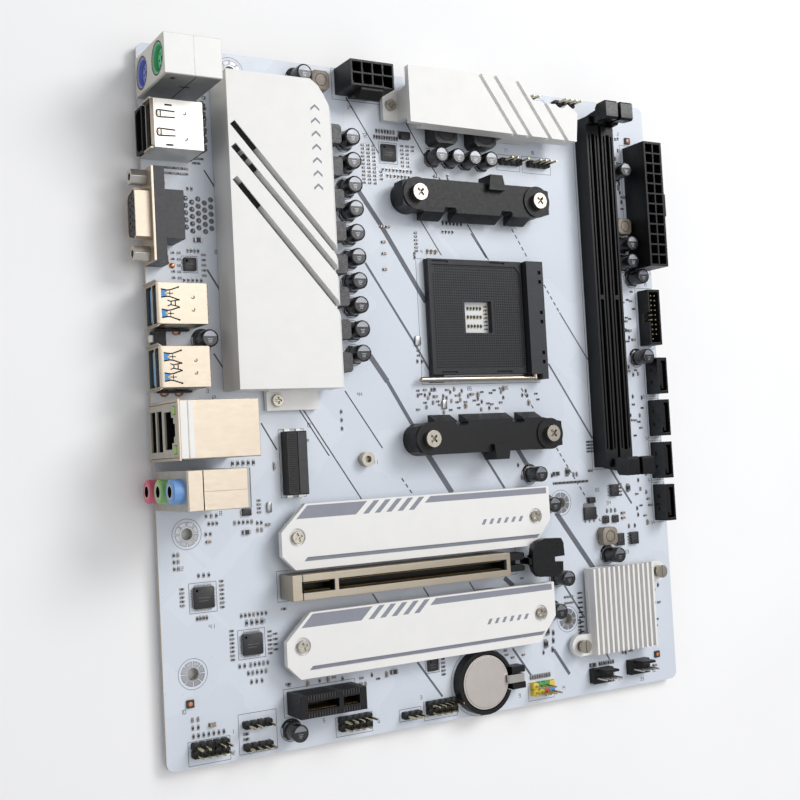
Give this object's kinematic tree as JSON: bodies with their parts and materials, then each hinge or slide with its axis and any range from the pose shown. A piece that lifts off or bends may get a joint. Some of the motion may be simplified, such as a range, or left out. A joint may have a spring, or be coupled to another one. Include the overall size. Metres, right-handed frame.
{
  "type": "motherboard",
  "caption": "White micro-format computer mainboard with processor socket, memory and expansion slots, white heatsinks and rear connectors.",
  "frame": {"origin": "centre of the rectangle of the lower four case screw holes, on the underside of the circuit board", "axes": "+Z out of the component side, +X from the rear connector edge to the front edge, +Y along the rear edge towards the processor end"},
  "size_m": [0.2276, 0.24, 0.0356],
  "materials": {
    "board": "white solder mask on glass-epoxy laminate",
    "solder": "tinned leads",
    "port_beige": "moulded light grey plastic",
    "ps2_colours": "moulded purple and green plastic",
    "port_steel": "nickel-plated steel",
    "port_nickel": "warm nickel-plated steel",
    "black_plastic": "moulded black nylon",
    "dark_grey_plastic": "moulded dark grey plastic",
    "usb_blue": "moulded blue plastic",
    "button_white": "moulded white plastic",
    "jack_pink": "moulded pink plastic",
    "jack_green": "moulded lime plastic",
    "jack_blue": "moulded light blue plastic",
    "white_heatsink": "white powder-coated aluminium",
    "fixing_white": "white push pins and screws",
    "choke_grey": "pressed iron powder",
    "capacitor_sleeve": "aluminium can with black print",
    "choke_dark": "pressed ferrite powder",
    "socket_grey": "moulded dark grey plastic",
    "lever_steel": "nickel-plated steel wire",
    "screw_black": "black zinc screws",
    "backplate_black": "black painted steel",
    "screw_nickel": "nickel-plated screws",
    "armour_steel": "stamped stainless steel",
    "cell_steel": "stainless steel",
    "chip_epoxy": "moulded epoxy"
  },
  "bodies": {
    "board": {"pcb": "board", "solder_tails": "solder", "ps2_shell": "port_beige", "ps2_sockets": "ps2_colours", "video_shell": "port_steel", "video_core": "black_plastic", "vga_shell": "port_steel", "vga_body": "dark_grey_plastic", "vga_jackscrews": "port_steel", "usb3_shell_a": "port_nickel", "usb3_shell_b": "port_nickel", "usb3_tongues": "usb_blue", "cmos_switch_body": "black_plastic", "lan_usb_shell": "port_nickel", "lan_usb_core": "port_beige", "audio_body": "port_beige", "audio_jack_pink": "jack_pink", "audio_jack_green": "jack_green", "audio_jack_blue": "jack_blue", "vrm_heatsink": "white_heatsink", "top_heatsink": "white_heatsink", "chipset_heatsink": "white_heatsink", "heatsink_fixings": "fixing_white", "vrm_chokes": "choke_grey", "vrm_capacitors": "capacitor_sleeve", "soc_chokes": "choke_dark", "top_capacitors": "capacitor_sleeve", "scattered_capacitors": "capacitor_sleeve", "eps_connector": "black_plastic", "atx_connector": "black_plastic", "cpu_socket_base": "socket_grey", "cooler_bracket_upper": "black_plastic", "cooler_bracket_lower": "black_plastic", "bracket_screws": "screw_black", "cooler_backplate": "backplate_black", "dimm_slot_a": "black_plastic", "dimm_slot_b": "black_plastic", "usb3_header": "black_plastic", "sata_ports": "black_plastic", "m2_cover_a": "white_heatsink", "m2_cover_b": "white_heatsink", "m2_fixings": "screw_nickel", "m2_connectors": "black_plastic", "wifi_socket": "black_plastic", "pcie_x16_body": "black_plastic", "pcie_x16_armour": "armour_steel", "pcie_x1_slot": "black_plastic", "battery_holder": "black_plastic", "battery_cell": "cell_steel", "pin_headers": "black_plastic", "chips": "chip_epoxy"},
    "cpu_socket_cover": {"cpu_socket_cover": "socket_grey"},
    "cpu_socket_lever": {"cpu_socket_lever": "lever_steel"},
    "dimm_latch_a_upper": {"dimm_latch_a_upper": "black_plastic"},
    "dimm_latch_a_lower": {"dimm_latch_a_lower": "black_plastic"},
    "dimm_latch_b_upper": {"dimm_latch_b_upper": "black_plastic"},
    "dimm_latch_b_lower": {"dimm_latch_b_lower": "black_plastic"},
    "pcie_x16_latch": {"pcie_x16_latch": "black_plastic"},
    "cmos_button": {"cmos_button": "button_white"},
    "battery_clip": {"battery_clip": "cell_steel"}
  },
  "joints": [
    {"name": "socket_lever_hinge", "type": "hinge", "parent": "board", "child": "cpu_socket_lever", "pos_m": [0.06657, 0.09469, 0.0042], "axis": [0, 1, 0], "range_deg": [0, 92]},
    {"name": "socket_cover_slide", "type": "slide", "parent": "board", "child": "cpu_socket_cover", "axis": [-1, 0, 0], "range_m": [0, 0.0009]},
    {"name": "dimm_latch_a_upper_hinge", "type": "hinge", "parent": "board", "child": "dimm_latch_a_upper", "pos_m": [0.09867, 0.17589, 0.0036], "axis": [-1, 0, 0], "range_deg": [0, 25]},
    {"name": "dimm_latch_a_lower_hinge", "type": "hinge", "parent": "board", "child": "dimm_latch_a_lower", "pos_m": [0.09867, 0.03749, 0.0036], "axis": [1, 0, 0], "range_deg": [0, 25]},
    {"name": "dimm_latch_b_upper_hinge", "type": "hinge", "parent": "board", "child": "dimm_latch_b_upper", "pos_m": [0.10627, 0.17589, 0.0036], "axis": [-1, 0, 0], "range_deg": [0, 25]},
    {"name": "dimm_latch_b_lower_hinge", "type": "hinge", "parent": "board", "child": "dimm_latch_b_lower", "pos_m": [0.10627, 0.03749, 0.0036], "axis": [1, 0, 0], "range_deg": [0, 25]},
    {"name": "x16_latch_hinge", "type": "hinge", "parent": "board", "child": "pcie_x16_latch", "pos_m": [0.05837, 0.00239, 0.0048], "axis": [0, 1, 0], "range_deg": [0, 10], "stiffness_Nm_per_rad": 0.02},
    {"name": "cmos_button_press", "type": "slide", "parent": "board", "child": "cmos_button", "axis": [1, 0, 0], "range_m": [0, 0.00025], "stiffness_N_per_m": 400},
    {"name": "battery_clip_hinge", "type": "hinge", "parent": "board", "child": "battery_clip", "pos_m": [0.04917, -0.04091, 0.0036], "axis": [0, 1, 0], "range_deg": [0, 15], "stiffness_Nm_per_rad": 0.02}
  ],
  "couplings": [
    {"joint": "socket_cover_slide", "follows": "socket_lever_hinge", "m_per_rad": 0.0005577}
  ]
}
